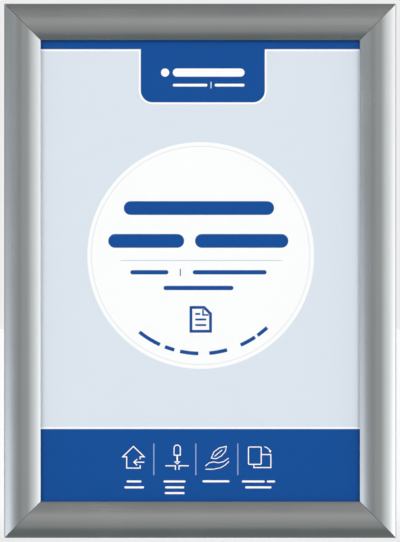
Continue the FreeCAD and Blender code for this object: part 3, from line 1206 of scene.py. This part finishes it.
@dataclass(frozen=True)
class Glow:
    """A soft round glow in the light dome, strongest towards one direction."""

    azimuth: float
    elevation: float
    sharpness: float
    colour: Colour

    def direction(self) -> Vector:
        """The direction it is strongest in: azimuth 0 is straight in front of the frame, 90 is to its right."""
        around, up = math.radians(self.azimuth), math.radians(self.elevation)
        return Vector((math.sin(around) * math.cos(up), -math.cos(around) * math.cos(up), math.sin(up)))


@dataclass
class Studio:
    """A dome of soft light round the frame, a pale floor just under it, a pale surround and the camera."""

    distance: float = 1.5
    view_height: float = 0.3320
    sight_depth: float = 0.005
    aim: Point = (-0.00015, -0.00012)
    drop: float = 0.014
    floor_radius: float = 6.0
    surround: float = 0.86
    even: Colour = (0.112, 0.13, 0.12)
    glows: tuple[Glow, ...] = (
        Glow(0.0, 0.0, 30.0, (0.32, 0.31, 0.30)),
        Glow(0.0, -17.0, 60.0, (0.15, 0.14, 0.14)),
        Glow(0.0, 17.0, 60.0, (0.28, 0.26, 0.26)),
        Glow(0.0, -32.0, 40.0, (0.23, 0.23, 0.24)),
        Glow(0.0, 32.0, 40.0, (0.11, 0.11, 0.12)),
        Glow(-30.0, 0.0, 24.0, (0.27, 0.28, 0.30)),
        Glow(30.0, 0.0, 24.0, (0.33, 0.34, 0.35)),
        Glow(45.0, 0.0, 24.0, (0.06, 0.06, 0.07)),
        Glow(60.0, 0.0, 12.0, (0.15, 0.17, 0.18)),
        Glow(90.0, 0.0, 2.0, (0.98, 0.97, 0.94)),
        Glow(90.0, 35.0, 10.0, (0.94, 0.96, 1.00)),
        Glow(90.0, -35.0, 10.0, (3.20, 3.30, 3.45)),
        Glow(-62.0, -28.0, 20.0, (2.82, 3.02, 3.35)),
        Glow(-90.0, -35.0, 10.0, (2.75, 2.87, 3.10)),
        Glow(-115.0, -25.0, 14.0, (1.25, 1.20, 1.25)),
        Glow(0.0, 90.0, 3.0, (0.10, 0.09, 0.11)),
        *(Glow(side, 38.0, 50.0, (14.9, 14.2, 13.6)) for side in (-50.0, 50.0)),
        *(Glow(side, 38.0, 12.0, (0.38, 0.38, 0.38)) for side in (-138.0, 138.0)),
        *(Glow(side, -38.0, 12.0, (0.38, 0.38, 0.38)) for side in (-138.0, 138.0)),
    )

    def build(self) -> bpy.types.Object:
        """Sets up the whole studio.

        Returns:
            The camera.
        """
        self._floor()
        self._dome()
        bpy.context.scene.view_settings.view_transform = "Standard"
        return self._camera()

    def _floor(self) -> None:
        """Lays a wide pale floor, low enough for the bottom rail to open, that only catches shadows."""
        shape = bmesh.new()
        bmesh.ops.create_circle(shape, cap_ends=True, segments=96, radius=self.floor_radius)
        floor = new_object("studio_floor", shape)
        floor.location.z = CAD_BOX[0].z - self.drop
        floor.visible_glossy = floor.visible_diffuse = floor.visible_shadow = False
        StudioPaint("floor_paint", srgb(236, 237, 239)).dress(floor)

    def _dome(self) -> None:
        """Makes the world: a pale surround to look at, and a dome of glows that lights the frame."""
        world = bpy.data.worlds.new("light_dome")
        world.use_nodes = True
        graph = Graph(world.node_tree)
        ray = graph.add("ShaderNodeTexCoord", output="Generated")
        light: Wire | None = None
        for glow in self.glows:
            sockets = {0: ray, 1: tuple(glow.direction())}
            aligned = graph.add("ShaderNodeVectorMath", {"operation": "DOT_PRODUCT"}, sockets, "Value")
            strength = aligned.within(0.0, 1.0) ** glow.sharpness
            scaled = graph.add("ShaderNodeVectorMath", {"operation": "SCALE"}, {0: glow.colour, 3: strength})
            base = self.even if light is None else light
            light = graph.add("ShaderNodeVectorMath", {"operation": "ADD"}, {0: base, 1: scaled})
        seen = graph.add("ShaderNodeLightPath", output="Is Camera Ray")
        shown = graph.blend(seen, light, (self.surround,) * 3)
        background = graph.add("ShaderNodeBackground", sockets={"Color": shown, "Strength": 1.0})
        graph.add("ShaderNodeOutputWorld", sockets={"Surface": background})
        bpy.context.scene.world = world

    def _camera(self) -> bpy.types.Object:
        """Stands a camera with a long lens straight in front of the frame.

        Returns:
            The camera, which is the scene's own.
        """
        lens = bpy.data.cameras.new("front_camera")
        lens.sensor_fit = "AUTO"
        lens.sensor_width = 36.0
        lens.lens = lens.sensor_width * (self.distance - self.sight_depth) / self.view_height
        lens.clip_start, lens.clip_end = 0.05, 50.0
        camera = bpy.data.objects.new("front_camera", lens)
        camera.location = (self.aim[0], -self.distance, self.aim[1])
        camera.rotation_euler = (math.radians(90.0), 0.0, 0.0)
        bpy.context.scene.collection.objects.link(camera)
        bpy.context.scene.camera = camera
        return camera


def main() -> None:
    """Builds the sub-assemblies in order, from the wall outwards, and reports each piece."""
    logging.basicConfig(level=logging.INFO, format="%(name)s: %(message)s")
    for piece in BaseFrame().build():
        LOG.info("dressed %s", piece.name)
    for piece in PrintedSheet().build():
        LOG.info("laid %s", piece.name)
    LOG.info("made %s", CoverSheet().build().name)
    for side in Side:
        LOG.info("made %s", SnapRail(side).build().name)
        for place in ("upper", "lower") if side.upright else ("left", "right"):
            LOG.info("made %s", LeafSpring(side, place).build().name)
    LOG.info("camera %s", Studio().build().name)


if __name__ == "__main__":
    main()
